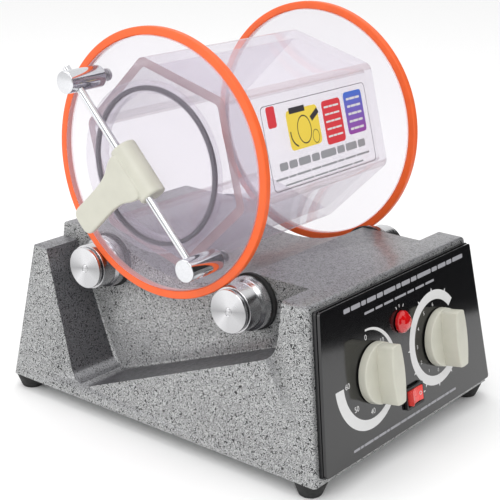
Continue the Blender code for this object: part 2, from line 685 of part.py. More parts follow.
def make_barrel(axis, mats):
    inner_radius = HEX_RADIUS - HEX_WALL / math.cos(math.pi / 6)
    half = FLANGE_INNER - GAP
    tube = tube_bm(hexagon(HEX_RADIUS, 0.006), hexagon(inner_radius, 0.002), -half, half)
    add_mesh("barrel_shell", tube, mats["clear_acrylic"], axis)

    front = turned_bm([(-a, r) for a, r in ring_profile(FLANGE_INNER, FLANGE_OUTER, PORT_RADIUS, FLANGE_RADIUS)],
                      FINE, "X", True)
    front = add_mesh("front_flange", front, mats["clear_acrylic"], axis)
    rear = turned_bm(disc_profile(FLANGE_INNER, FLANGE_OUTER, FLANGE_RADIUS), FINE, "X")
    add_mesh("rear_flange", rear, mats["clear_acrylic"], axis)
    for name, side in (("front_ring", -1), ("rear_ring", 1)):
        low, high = FLANGE_RADIUS + GAP, RING_RADIUS
        soft = 0.0014
        section = rounded_outline([(-RING_HALF_WIDTH, low), (RING_HALF_WIDTH, low), (RING_HALF_WIDTH, high),
                                   (-RING_HALF_WIDTH, high)], [0, 0, soft, soft], 2)
        ring = turned_bm([(side * RING_PLACE + a, r) for a, r in section], FINE, "X", True)
        add_mesh(name, ring, mats["orange_rubber"], axis)

    face = -FLANGE_OUTER - GAP
    depth = -0.0922
    lid = turned_bm([(-LID_OUTER, 0), (-LID_OUTER, LID_RADIUS - 0.001), (-LID_OUTER + 0.001, LID_RADIUS),
                     (face, LID_RADIUS), (face, SEAL_OUTER + GAP), (depth, SEAL_OUTER + GAP),
                     (depth, SEAL_INNER - GAP), (face, SEAL_INNER - GAP), (face, LID_PLUG_RADIUS),
                     (-FLANGE_INNER - 0.001, LID_PLUG_RADIUS), (-FLANGE_INNER - 0.001, 0)], FINE, "X")
    add_mesh("lid", lid, mats["clear_acrylic"], axis)
    seal = turned_bm(ring_profile(depth + GAP, face, SEAL_INNER, SEAL_OUTER), FINE, "X", True)
    add_mesh("lid_seal", seal, mats["grey_rubber"], axis)

    for name, sign in (("upper", 1), ("lower", -1)):
        place = post_place(sign)
        post = turned_bm([(-POST_END, 0), (-POST_END, POST_RADIUS - 0.0006), (-POST_END + 0.0006, POST_RADIUS),
                          (face, POST_RADIUS), (face, SCREW_RADIUS + GAP), (-0.0990, SCREW_RADIUS + GAP),
                          (-0.0990, 0)], 32, "X")
        post = add_mesh("clamp_post_" + name, post, mats["chrome"], axis, place)
        hole = turned_bm(disc_profile(-0.1, 0.1, ROD_RADIUS + GAP), SMALL)
        hole = add_mesh("cut_post_" + name, hole, None, axis, (ROD_X, 0, 0))
        hole.rotation_euler = (CLAMP_ANGLE - math.pi / 2, 0, 0)
        cut(post, hole)
        passage = turned_bm(disc_profile(-0.1, -0.07, SCREW_RADIUS + GAP), SMALL, "X")
        cut(front, add_mesh("cut_flange_" + name, passage, None, axis, place))
        head = -FLANGE_INNER + GAP
        screw = turned_bm([(-0.0985, 0), (-0.0985, SCREW_RADIUS), (head, SCREW_RADIUS), (head, 0.0042),
                           (head + 0.002, 0.0042), (head + 0.0026, 0.0034), (head + 0.0026, 0)], 16, "X")
        add_mesh("post_screw_" + name, screw, mats["steel"], axis, place)


def make_clamp(rod_axis, mats):
    """The cross rod, and the cam lever that turns on it. Local Z is the rod, local X faces the lid."""
    rod = turned_bm([(ROD_LOW, 0), (ROD_LOW, ROD_RADIUS), (ROD_HIGH - 0.0006, ROD_RADIUS),
                     (ROD_HIGH, ROD_RADIUS - 0.0006), (ROD_HIGH, 0)], SMALL)
    add_mesh("cross_rod", rod, mats["chrome"], rod_axis)
    cam = turned_bm([(-CAM_HALF_LENGTH, 0), (-CAM_HALF_LENGTH, CAM_RADIUS - 0.0008),
                     (-CAM_HALF_LENGTH + 0.0008, CAM_RADIUS), (CAM_HALF_LENGTH - 0.0008, CAM_RADIUS),
                     (CAM_HALF_LENGTH, CAM_RADIUS - 0.0008), (CAM_HALF_LENGTH, 0)], 36)
    bmesh.ops.translate(cam, verts=cam.verts, vec=(CAM_OFFSET, 0, 0))
    cam = add_mesh("cam_lever", cam, mats["ivory_plastic"], rod_axis)
    root_half, end_half = 0.0165, 0.0100
    outline = rounded_outline([(0.002, -root_half), (0.013, -0.0148), (LEVER_REACH, -end_half),
                               (LEVER_REACH, end_half), (0.013, 0.0148), (0.002, root_half)],
                              [0, 0.006, 0.0085, 0.0085, 0.006, 0], 5)
    lever = add_mesh("tool_lever", prism_bm(outline, LEVER_OUTER, LEVER_OUTER + LEVER_THICKNESS), None, rod_axis)
    bore = turned_bm(disc_profile(-0.03, 0.03, ROD_RADIUS + GAP), SMALL)
    join(cam, lever)
    cut(cam, add_mesh("cut_cam_bore", bore, None, rod_axis))


# ---------------------------------------------------------------- the whole machine
def make_materials():
    return {
        "hammertone": make_material("hammertone", (0.33, 0.33, 0.34), 0.42, 0.55),
        "black_acrylic": make_material("black_acrylic", (0.012, 0.012, 0.014), 0.25),
        "gloss_black": make_material("gloss_black", (0.010, 0.010, 0.012), 0.08),
        "ivory_plastic": make_material("ivory_plastic", (0.60, 0.59, 0.52), 0.38),
        "red_lens": make_material("red_lens", (0.65, 0.01, 0.01), 0.10),
        "red_plastic": make_material("red_plastic", (0.80, 0.09, 0.08), 0.30),
        "dark_plastic": make_material("dark_plastic", (0.02, 0.02, 0.02), 0.45),
        "black_rubber": make_material("black_rubber", (0.018, 0.018, 0.018), 0.70),
        "orange_rubber": make_material("orange_rubber", (0.86, 0.14, 0.03), 0.45),
        "grey_rubber": make_material("grey_rubber", (0.09, 0.09, 0.10), 0.60),
        "clear_acrylic": make_material("clear_acrylic", (0.86, 0.84, 0.90), 0.05, 0.0, 0.3),
        "chrome": make_material("chrome", (0.80, 0.80, 0.80), 0.08, 1.0),
        "bright_steel": make_material("bright_steel", (0.68, 0.69, 0.69), 0.22, 1.0),
        "steel": make_material("steel", (0.50, 0.50, 0.50), 0.35, 1.0),
        "zinc_steel": make_material("zinc_steel", (0.55, 0.56, 0.56), 0.40, 1.0),
        "motor_can": make_material("motor_can", (0.55, 0.56, 0.56), 0.40, 1.0),
        "aluminium": make_material("aluminium", (0.70, 0.70, 0.70), 0.35, 1.0),
        "brass": make_material("brass", (0.60, 0.42, 0.16), 0.35, 1.0),
        "green_board": make_material("green_board", (0.02, 0.16, 0.06), 0.50),
    }


def main():
    clear_scene()
    mats = make_materials()
    root = add_empty("tumbler", None, (*CENTRE_SHIFT, 0))
    panel = add_empty("panel_frame", root, (0, -HALF_LENGTH, BODY_BASE), math.pi / 2 - PANEL_TILT)
    gland_z = 0.034
    far_face = add_empty("far_face", root, (0.055, far_wall(gland_z, 0.0), gland_z),
                         math.atan(END_DRAFT) - math.pi / 2)
    make_housing(root, panel, far_face, mats)
    make_base(root, mats)
    make_panel(panel, mats)
    make_controls(panel, mats)
    make_switch(panel, mats)
    axes = {}
    for name, offset in (("drive", -ROLLER_OFFSET_Y), ("idler", ROLLER_OFFSET_Y)):
        y = BARREL_Y + offset
        axes[name] = add_empty(name + "_roller_axis", root, (0, y, ROLLER_Z))
        make_roller(name, axes[name], root, y, mats)
    make_drive(root, axes["drive"], mats)
    make_board(root, mats)
    make_gland(far_face, mats)
    barrel_axis = add_empty("barrel_axis", root, (0, BARREL_Y, BARREL_Z))
    make_barrel(barrel_axis, mats)
    rod_axis = add_empty("rod_axis", barrel_axis, (ROD_X, 0, 0), CLAMP_ANGLE - math.pi / 2)
    make_clamp(rod_axis, mats)


main()
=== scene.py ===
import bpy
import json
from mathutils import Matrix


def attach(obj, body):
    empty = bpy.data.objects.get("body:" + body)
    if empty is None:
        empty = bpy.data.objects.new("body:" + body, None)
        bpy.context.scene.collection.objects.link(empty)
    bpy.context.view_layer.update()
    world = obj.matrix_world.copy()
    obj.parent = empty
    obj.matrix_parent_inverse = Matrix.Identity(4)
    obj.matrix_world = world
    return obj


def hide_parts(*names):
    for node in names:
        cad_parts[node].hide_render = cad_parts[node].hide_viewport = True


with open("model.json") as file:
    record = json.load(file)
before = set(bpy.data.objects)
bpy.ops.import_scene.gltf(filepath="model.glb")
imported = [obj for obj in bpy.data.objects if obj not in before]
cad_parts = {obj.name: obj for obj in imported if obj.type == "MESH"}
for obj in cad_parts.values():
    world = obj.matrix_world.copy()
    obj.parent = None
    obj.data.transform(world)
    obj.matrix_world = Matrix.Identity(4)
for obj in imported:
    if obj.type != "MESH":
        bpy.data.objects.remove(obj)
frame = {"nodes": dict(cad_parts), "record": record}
"""Looks of the rotary rock tumbler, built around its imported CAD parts. Metres, +Z up."""
import json
import math

import bmesh
import bpy
from mathutils import Matrix, Vector

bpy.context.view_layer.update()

# ---------------------------------------------------------------- places, as in the CAD source
CENTRE = Vector((0.0050, 0.0072, 0.0))
BODY_BASE = 0.0105              # the housing's lower edge, above the floor
BARREL_Y = 0.0105
BARREL_PLACE = CENTRE + Vector((0.0, BARREL_Y, 0.1863))
ROLLER_OFFSET_Y = 0.065
ROLLER_Z = 0.1028
FOOT_X = 0.098
FOOT_ENDS = (("front", -0.127), ("far", 0.130))
PANEL_FOOT_Y = -0.138
PANEL_TILT = math.atan(0.1777)
PANEL_FRONT = 0.0056            # the face plate's outer face
KNOB_X = 0.040
KNOB_UP = 0.055
KNOB_RADIUS = 0.0205
KNOB_BAR_HALF_WIDTH = 0.0046
KNOB_BAR_BULGE = 0.0022
LAMP_PLACE = (-0.0052, 0.079)
SWITCH_PLACE = (0.0005, 0.0255)
SWITCH_PIVOT = 0.002            # the rocker's axis, out from the panel
ROCKER_REACH = 0.0080
ROCKER_TILT = math.radians(8)
CLAMP_ANGLE = math.radians(46)
CLAMP_POST_RADIUS = 0.073       # from the barrel's axis to a post's
ROD_X = -0.1105
ROD_RADIUS = 0.0026
HEX_TURN = math.radians(15)
HEX_CORNER_RADIUS = 0.0715
HEX_WALL = 0.006
FLANGE_RADIUS = 0.084
FLANGE_INNER = 0.0825
FLANGE_OUTER = 0.0885

# ---------------------------------------------------------------- sizes of detail that only the looks have
KNURL_TEETH = 110
LABEL_ANGLE = math.radians(165)
LABEL_OUT = 0.0619              # the hexagon's flat sides, from the barrel's axis
PRINT_THICKNESS = 0.00004
PRINT_GAP = 0.00001
PRINT_LIFT = 0.00001            # one ink over another
PRINT_TOP_LIFT = 0.00006
TIMER_DIAL = (-0.0465, 0.0553)
SPEED_DIAL = (0.0355, 0.0557)
LAMP_MARKS = (-0.0048, 0.079)   # the middle of the three ticks above the lamp
ALMOST_ROUND = 359.9            # degrees; a printed ring stays open by a hair, so it is a simple outline
TURNED = (1.0, 0.02, 0.02)      # stretches noise into rings about local X

AT_CENTRE = Matrix.Translation(CENTRE)
AT_BARREL = Matrix.Translation(BARREL_PLACE)
AT_PANEL = (Matrix.Translation(CENTRE + Vector((0, PANEL_FOOT_Y, BODY_BASE)))
            @ Matrix.Rotation(math.pi / 2 - PANEL_TILT, 4, "X"))
ALONG_ROD = Matrix.Rotation(CLAMP_ANGLE - math.pi / 2, 4, "X")
AT_ROD = AT_BARREL @ Matrix.Translation((ROD_X, 0, 0)) @ ALONG_ROD
X_TO_Z = Matrix.Rotation(-math.pi / 2, 4, "Y")
XY_TO_YZ = Matrix(((0, 0, 1, 0), (1, 0, 0, 0), (0, 1, 0, 0), (0, 0, 0, 1)))
XY_TO_XZ = Matrix.Rotation(math.pi / 2, 4, "X")
Z_TO_X = Matrix(((0, 0, 1, 0), (0, 1, 0, 0), (1, 0, 0, 0), (0, 0, 0, 1)))


# ---------------------------------------------------------------- materials
def srgb(red, green, blue):
    """Linear colour from 0-255 display values."""
    channels = []
    for value in (red, green, blue):
        value /= 255
        channels.append(value / 12.92 if value <= 0.04045 else ((value + 0.055) / 1.055) ** 2.4)
    return (*channels, 1.0)


def darkened(color, share):
    return tuple(channel * share for channel in color[:3]) + (1,)


class Shader:
    """A material with one Principled shader, and short ways to add procedural detail to it."""

    def __init__(self, name, color, roughness, metallic=0.0, **sockets):
        self.mat = bpy.data.materials.new(name)
        self.mat.use_nodes = True
        self.tree = self.mat.node_tree
        self.principled = self.tree.nodes["Principled BSDF"]
        self.principled.inputs["Base Color"].default_value = color
        self.principled.inputs["Roughness"].default_value = roughness
        self.principled.inputs["Metallic"].default_value = metallic
        for socket, value in sockets.items():
            self.principled.inputs[socket.replace("_", " ")].default_value = value
        self.mat.diffuse_color = color
        self.coordinates = None

    def node(self, kind, **settings):
        made = self.tree.nodes.new(kind)
        for key, value in settings.items():
            if key in made.inputs:
                made.inputs[key].default_value = value
            else:
                setattr(made, key, value)
        return made

    def link(self, output, target):
        self.tree.links.new(output, target)

    def place(self, scale=(1, 1, 1)):
        if self.coordinates is None:
            self.coordinates = self.node("ShaderNodeTexCoord")
        mapping = self.node("ShaderNodeMapping")
        mapping.inputs["Scale"].default_value = scale
        self.link(self.coordinates.outputs["Object"], mapping.inputs["Vector"])
        return mapping.outputs["Vector"]

    def noise(self, size, detail=2.0, stretch=(1, 1, 1), distortion=0.0):
        """Noise whose features are about size metres across."""
        made = self.node("ShaderNodeTexNoise", Detail=detail, Distortion=distortion, Scale=1 / size)
        self.link(self.place(stretch), made.inputs["Vector"])
        return made.outputs["Fac"]

    def ramp(self, source, *stops):
        made = self.node("ShaderNodeValToRGB")
        ramp = made.color_ramp
        while len(ramp.elements) < len(stops):
            ramp.elements.new(0.5)
        for element, (position, color) in zip(ramp.elements, stops):
            element.position = position
            element.color = color
        self.link(source, made.inputs["Fac"])
        return made.outputs["Color"]

    def grey_ramp(self, source, low, high, start=0.3, end=0.7):
        return self.ramp(source, (start, (low, low, low, 1)), (end, (high, high, high, 1)))

    def facing(self, normal, direction, start, end, most):
        """From 0 to most where the surface faces that way."""
        dot = self.node("ShaderNodeVectorMath", operation="DOT_PRODUCT")
        dot.inputs[1].default_value = direction
        self.link(normal, dot.inputs[0])
        return self.grey_ramp(dot.outputs["Value"], 0.0, most, start, end)

    def blend(self, factor, first, second):
        made = self.node("ShaderNodeMix", data_type="RGBA")
        self.link(factor, made.inputs["Factor"])
        self.link(first, made.inputs[6])
        self.link(second, made.inputs[7])
        return made.outputs[2]

    def color_from(self, source):
        self.link(source, self.principled.inputs["Base Color"])

    def roughness_from(self, source, low, high):
        self.link(self.grey_ramp(source, low, high), self.principled.inputs["Roughness"])

    def bump(self, source, depth, strength=1.0):
        made = self.node("ShaderNodeBump", Strength=strength, Distance=depth)
        self.link(source, made.inputs["Height"])
        last = self.principled.inputs["Normal"]
        if last.is_linked:
            self.link(last.links[0].from_socket, made.inputs["Normal"])
        self.link(made.outputs["Normal"], last)


def hammertone(name, light, middle, dark, painted_top_light, painted_top_dark):
    """Grey hammered paint with dark winding veins, and painted light on the faces that look up: a calmer
    tone there, for how the light falls on them.
    """
    made = Shader(name, middle, 0.36, 0.30, Coat_Weight=0.35, Coat_Roughness=0.16)
    vein_width = 0.0020
    veins = made.noise(vein_width, 1.0, distortion=0.5)
    vein_color = made.ramp(veins, (0.33, middle), (0.40, light), (0.450, light), (0.478, dark),
                           (0.528, dark), (0.555, light), (0.61, light), (0.68, middle))
    painted_top_color = made.ramp(veins, (0.40, painted_top_light), (0.50, painted_top_dark), (0.60, painted_top_light))
    normal = made.node("ShaderNodeNewGeometry").outputs["Normal"]
    # Painted light: faces that look up blend to a calmer tone, standing in for how the light falls on the
    # tops.
    upward = made.facing(normal, (0, 0, 1), 0.35, 0.95, 0.8)
    made.color_from(made.blend(upward, vein_color, painted_top_color))
    made.roughness_from(made.noise(0.004, 2.0), 0.30, 0.44)
    made.bump(veins, 0.00030, 0.7)
    return made.mat


def plastic(name, color, roughness, grain=0.00002, shade=0.93, **sockets):
    """Moulded plastic with a fine grain and a faint change of tone."""
    made = Shader(name, color, roughness, 0.0, **sockets)
    tone = made.noise(0.012, 3.0)
    made.color_from(made.ramp(tone, (0.3, darkened(color, shade)), (0.7, color)))
    made.roughness_from(made.noise(0.003, 4.0), roughness * 0.85, min(1.0, roughness * 1.15))
    made.bump(made.noise(0.0005, 2.0), grain, 0.5)
    return made.mat


def metal(name, color, roughness, stretch=(1, 1, 1), grain=0.00001, size=0.0008):
    """Metal whose fine marks run along the stretched axes."""
    made = Shader(name, color, roughness, 1.0)
    marks = made.noise(size, 3.0, stretch)
    made.color_from(made.ramp(marks, (0.3, darkened(color, 0.86)), (0.7, color)))
    made.roughness_from(marks, roughness * 0.8, min(1.0, roughness * 1.25))
    made.bump(marks, grain, 0.6)
    return made.mat


def turned_metal(name, color, roughness):
    """Lathe-turned metal about local X: fine rings, and a painted bow-tie sheen, light and dark sectors in
    the colour of a flat end.
    """
    made = Shader(name, color, roughness, 1.0)
    rings = made.noise(0.00035, 3.0, TURNED)
    # Painted sheen: light and dark sectors around the axis, in the base colour, stand in for the reflection
    # that turned metal gives.
    painted_sheen = made.node("ShaderNodeTexGradient", gradient_type="RADIAL")
    turn = made.node("ShaderNodeMapping")
    turn.inputs["Rotation"].default_value = (0.0, math.pi / 2, 0.0)
    made.link(made.place(), turn.inputs["Vector"])
    made.link(turn.outputs["Vector"], painted_sheen.inputs["Vector"])
    painted_sheen_dark = darkened(color, 0.52)
    middle = darkened(color, 0.80)
    made.color_from(made.ramp(painted_sheen.outputs["Fac"], (0.0, middle), (0.10, color), (0.22, painted_sheen_dark),
                              (0.34, middle), (0.47, color), (0.60, color), (0.72, painted_sheen_dark),
                              (0.84, middle), (1.0, middle)))
    made.roughness_from(rings, roughness * 0.8, roughness * 1.25)
    made.bump(rings, 0.000012, 0.6)
    return made.mat


def clear_acrylic(name, tint, facing_cover, grazing_cover):
    """Clear sheet: mostly see-through, tinted, and denser where it is seen along its surface."""
    made = Shader(name, tint, 0.04, 0.0, Coat_Weight=0.4, Coat_Roughness=0.02)
    made.bump(made.noise(0.03, 1.0), 0.00003, 0.3)
    weight = made.node("ShaderNodeLayerWeight", Blend=0.25)
    cover = made.grey_ramp(weight.outputs["Facing"], facing_cover, grazing_cover, 0.15, 1.0)
    through = made.node("ShaderNodeBsdfTransparent")
    through.inputs["Color"].default_value = (0.985, 0.98, 0.99, 1)
    mix = made.node("ShaderNodeMixShader")
    made.link(cover, mix.inputs["Fac"])
    made.link(through.outputs["BSDF"], mix.inputs[1])
    made.link(made.principled.outputs["BSDF"], mix.inputs[2])
    made.link(mix.outputs["Shader"], made.tree.nodes["Material Output"].inputs["Surface"])
    return made.mat


def flat_ink(name, color):
    made = Shader(name, color, 0.45)
    made.bump(made.noise(0.0004, 2.0), 0.000004, 0.3)
    return made.mat


MATS = {
    "hammertone": hammertone("hammertone_paint", srgb(178, 179, 179), srgb(118, 119, 120),
                             srgb(22, 23, 25), srgb(128, 128, 132), srgb(80, 80, 84)),
    # A darker copy of the hammered paint for the pocket walls and floor: painted shade in the recess.
    "pocket_painted_shade": hammertone("hammertone_painted_shade_in_pocket", srgb(112, 112, 115), srgb(88, 88, 91),
                               srgb(40, 40, 43), srgb(96, 96, 100), srgb(58, 58, 62)),
    "black_acrylic": plastic("black_sheet", srgb(20, 20, 22), 0.20),
    "gloss_black": plastic("gloss_black_sheet", srgb(13, 13, 15), 0.11, grain=0.000002,
                           Coat_Weight=0.4, Coat_Roughness=0.08),
    "ivory_plastic": plastic("ivory_plastic", srgb(197, 196, 183), 0.36),
    "red_lens": plastic("red_lens", srgb(222, 12, 18), 0.08, grain=0.000002, Coat_Weight=1.0,
                        Coat_Roughness=0.03, Transmission_Weight=0.25),
    "red_plastic": plastic("red_plastic", srgb(236, 72, 66), 0.28),
    "dark_plastic": plastic("dark_plastic", srgb(26, 26, 27), 0.42),
    "black_rubber": plastic("black_rubber", srgb(28, 28, 28), 0.68, grain=0.00004),
    "orange_rubber": plastic("orange_rubber", srgb(240, 98, 36), 0.42, grain=0.00003, shade=0.9),
    "grey_rubber": plastic("grey_rubber", srgb(44, 43, 48), 0.50),
    "clear_acrylic": clear_acrylic("clear_acrylic", srgb(208, 200, 214), 0.10, 0.62),
    # Denser pinkish-brown sheet for the tube's cut ends: partly the thick edge of the sheet, partly a
    # painted reflection of the orange rings.
    "acrylic_edge_painted_reflection": clear_acrylic("acrylic_edge_painted_reflection", srgb(160, 128, 128), 0.78, 0.85),
    # Denser pinkish sheet for the hexagon's rounded corners: a painted reflection in place of the lines that
    # the corners show.
    "acrylic_corner_painted_reflection": clear_acrylic("acrylic_corner_painted_reflection", srgb(186, 164, 172), 0.38, 0.70),
    # Pale pink sheet for the flange rims: a painted reflection of the orange rings around them.
    "acrylic_rim_painted_reflection": clear_acrylic("acrylic_rim_painted_reflection", srgb(250, 190, 185), 0.40, 0.70),
    "chrome": metal("chrome", srgb(226, 227, 230), 0.09, grain=0.000002),
    # The spools' steel carries a painted sheen in its colour.
    "bright_steel": turned_metal("turned_steel_painted_sheen", srgb(214, 214, 216), 0.22),
    "steel": metal("drawn_steel", srgb(180, 180, 182), 0.34, TURNED),
    "zinc_steel": metal("zinc_plate", srgb(188, 190, 190), 0.38, size=0.006),
    "motor_can": metal("motor_can", srgb(176, 178, 180), 0.38, size=0.004),
    "aluminium": metal("aluminium", srgb(206, 207, 208), 0.34, TURNED),
    "brass": metal("brass", srgb(196, 160, 92), 0.34, TURNED),
    "green_board": plastic("green_board", srgb(24, 100, 52), 0.42),
    "white_ink": flat_ink("white_ink", srgb(214, 214, 214)),
    "grey_ink": flat_ink("grey_ink", srgb(150, 150, 155)),
    "dark_ink": flat_ink("dark_ink", srgb(58, 56, 62)),
    "yellow_ink": flat_ink("yellow_ink", srgb(233, 205, 70)),
    "red_ink": flat_ink("red_ink", srgb(214, 52, 62)),
}


# ---------------------------------------------------------------- shapes
def soften(points, radius, steps=3, closed=False):
    """Rounds the corners of an outline, each only as far as its neighbours leave room."""
    result = []
    count = len(points)
    for i, point in enumerate(points):
        here = Vector(point)
        if not closed and i in (0, count - 1):
            result.append(here)
            continue
        before = Vector(points[i - 1]) - here
        after = Vector(points[(i + 1) % count]) - here
        first = here + before.normalized() * min(radius, 0.45 * before.length)
        last = here + after.normalized() * min(radius, 0.45 * after.length)
        for k in range(steps + 1):
            t = k / steps
            result.append(first * (1 - t) ** 2 + here * 2 * t * (1 - t) + last * t * t)
    return result


def lathe_bm(profile, segments=96, closed=False):
    """Turns (along, radius) points about local X."""
    bm = bmesh.new()
    verts = [bm.verts.new((along, 0, radius)) for along, radius in profile]
    edges = [bm.edges.new(pair) for pair in zip(verts, verts[1:])]
    if closed:
        edges.append(bm.edges.new((verts[-1], verts[0])))
    bmesh.ops.spin(bm, geom=verts + edges, cent=(0, 0, 0), axis=(1, 0, 0), angle=math.tau,
                   steps=segments, use_merge=True)
    bmesh.ops.remove_doubles(bm, verts=bm.verts, dist=0.0000005)
    return bm


def prism_bm(outline, low, high, soft=0.0):
    """Extrudes an outline along local Z, and rounds the rims of both ends."""
    bm = bmesh.new()
    ends = [[bm.verts.new((a, b, depth)) for a, b in outline] for depth in (low, high)]
    count = len(outline)
    for i in range(count):
        j = (i + 1) % count
        bm.faces.new((ends[0][i], ends[0][j], ends[1][j], ends[1][i]))
    caps = [bm.faces.new(ends[0][::-1]), bm.faces.new(ends[1])]
    bmesh.ops.recalc_face_normals(bm, faces=bm.faces)
    if soft:
        rims = list({edge for cap in caps for edge in cap.edges})
        bmesh.ops.bevel(bm, geom=rims, offset=soft, segments=3, profile=0.5, affect="EDGES",
                        clamp_overlap=True)
    return bm


def merge_bm(*parts):
    """One bmesh from several, each given alone or as (bmesh, matrix)."""
    whole = bmesh.new()
    for part in parts:
        bm, matrix = part if isinstance(part, tuple) else (part, Matrix.Identity(4))
        bm.transform(matrix)
        mesh = bpy.data.meshes.new("merge")
        bm.to_mesh(mesh)
        bm.free()
        whole.from_mesh(mesh)
        bpy.data.meshes.remove(mesh)
    return whole


def add_piece(name, bm, mat, body, place, replaces=(), sharp=32):
    """A finished piece that rides on a CAD body and may stand for CAD nodes."""
    bmesh.ops.recalc_face_normals(bm, faces=bm.faces)
    mesh = bpy.data.meshes.new(name)
    bm.to_mesh(mesh)
    bm.free()
    mesh.materials.append(MATS[mat] if isinstance(mat, str) else mat)
    mesh.shade_smooth()
    mesh.set_sharp_from_angle(angle=math.radians(sharp))
    piece = bpy.data.objects.new(name, mesh)
    bpy.context.scene.collection.objects.link(piece)
    piece.matrix_world = place
    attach(piece, body)
    if replaces:
        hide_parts(*replaces)
    return piece


NODE_SLOTS = {entry["node"]: entry["material_slot"] for entry in frame["record"]["subparts"]}


def dress(node, soft=0.0):
    """Gives a CAD node its finish, and rounds its sharp edges with modifiers."""
    piece = frame["nodes"][node]
    piece.data.materials.clear()
    piece.data.materials.append(MATS[NODE_SLOTS[node]])
    if soft:
        weld = piece.modifiers.new("weld", "WELD")
        weld.merge_threshold = 0.000002
        flatten = piece.modifiers.new("flatten", "DECIMATE")
        flatten.decimate_type = "DISSOLVE"
        flatten.angle_limit = math.radians(1.0)
        bevel = piece.modifiers.new("soft_edges", "BEVEL")
        bevel.width = soft
        bevel.segments = 2
        bevel.limit_method = "ANGLE"
        bevel.angle_limit = math.radians(40)
        bevel.use_clamp_overlap = True


# ---------------------------------------------------------------- housing and feet
def make_housing():
    """The casting with rounded outer edges."""
    bm = bmesh.new()
    bm.from_mesh(frame["nodes"]["housing"].data)
    bmesh.ops.remove_doubles(bm, verts=bm.verts, dist=0.000005)
    bmesh.ops.dissolve_limit(bm, angle_limit=math.radians(1.0), verts=bm.verts, edges=bm.edges)
    bmesh.ops.recalc_face_normals(bm, faces=bm.faces)
    bm.normal_update()
    sharp = []
    for edge in bm.edges:
        if len(edge.link_faces) != 2 or not edge.is_convex:
            continue
        middle = (edge.verts[0].co + edge.verts[1].co) / 2
        above_rim = middle.z > BODY_BASE + 0.006
        if above_rim and edge.calc_face_angle() > math.radians(36) and edge.calc_length() > 0.0045:
            sharp.append(edge)
    bmesh.ops.bevel(bm, geom=sharp, offset=0.0014, segments=3, profile=0.5, affect="EDGES",
                    clamp_overlap=True)
    casting = add_piece("housing_casting", bm, "hammertone", "base", Matrix.Identity(4), ["housing"],
                        sharp=40)
    # The pocket's walls and floor take the darker copy of the paint: painted shade in the recess.
    second_finish(casting, "pocket_painted_shade", in_pocket)


def in_pocket(face):
    """True on the walls and the sloping floor of a side pocket."""
    place = face.center - CENTRE
    return (abs(face.normal.x) < 0.3 and face.normal.z < 0.97 and face.normal.y < 0.9
            and -0.1 < place.y < 0.112 and abs(place.x) > 0.064 and place.z > 0.02)


def make_feet():
    for end, y in FOOT_ENDS:
        for side, x in (("left", -FOOT_X), ("right", FOOT_X)):
            profile = [(0.0, 0.0046), (0.0, 0.0075), (0.0102, 0.0115), (0.0102, 0.0026),
                       (0.0045, 0.0026), (0.0045, 0.0046)]
            bm = lathe_bm(soften(profile, 0.0008, 3, True), 48, True)
            name = "foot_%s_%s" % (end, side)
            add_piece(name + "_moulding", bm, "black_rubber", "base",
                      AT_CENTRE @ Matrix.Translation((x, y, 0)) @ X_TO_Z, [name])


# ---------------------------------------------------------------- control panel
def knob_bar(tip, half, bulge, steps=14):
    """Outline of a grip bar with pointed ends, whose sides bulge in the middle."""
    corner = math.sqrt(tip * tip - half * half)
    side = []
    for k in range(steps + 1):
        share = 2 * k / steps - 1
        side.append((half + bulge * (1 - share * share), share * corner))
    return side + [(0, tip)] + [(-x, -y) for x, y in side] + [(0, -tip)]


def make_knob(name, x, body):
    """Skirt with rounded rim, and the grip bar with softened edges."""
    place = AT_PANEL @ Matrix.Translation((x, KNOB_UP, 0))
    skirt = soften([(0.0063, 0.0034), (0.0063, KNOB_RADIUS), (0.0121, KNOB_RADIUS - 0.0003),
                    (0.0125, 0.0140), (0.0125, 0.0034)], 0.0009, 4)
    outline = soften(knob_bar(KNOB_RADIUS - 0.0006, KNOB_BAR_HALF_WIDTH, KNOB_BAR_BULGE), 0.0008, 2, True)
    bar = prism_bm(outline, 0.0117, 0.0245, 0.0008)
    bm = merge_bm((lathe_bm(skirt, 120), X_TO_Z), bar)
    add_piece(name + "_moulding", bm, "ivory_plastic", body, place, [name], sharp=40)


def arc_band(inner, outer, first, last, steps=90):
    """A band between two angles; inner and outer give the radius for a share of the way."""
    low, high = [], []
    for k in range(steps + 1):
        share = k / steps
        angle = math.radians(first + (last - first) * share)
        low.append((inner(share) * math.cos(angle), inner(share) * math.sin(angle)))
        high.append((outer(share) * math.cos(angle), outer(share) * math.sin(angle)))
    return high + low[::-1]


def rectangle(x0, y0, x1, y1, corner=0.0):
    outline = [(x0, y0), (x1, y0), (x1, y1), (x0, y1)]
    return soften(outline, corner, 4, True) if corner else outline


def shifted(outline, dx, dy):
    return [(x + dx, y + dy) for x, y in outline]


def strip_bm(outline):
    """A thin flat solid on the surface, from an outline that doesn't cross itself."""
    bm = prism_bm(outline, PRINT_GAP, PRINT_GAP + PRINT_THICKNESS)
    bmesh.ops.triangulate(bm, faces=[face for face in bm.faces if len(face.verts) > 4],
                          quad_method="BEAUTY", ngon_method="EAR_CLIP")
    return bm


def print_on(name, outlines, mat, body, place):
    bm = merge_bm(*[strip_bm(outline) for outline in outlines])
    return add_piece(name, bm, mat, body, place)


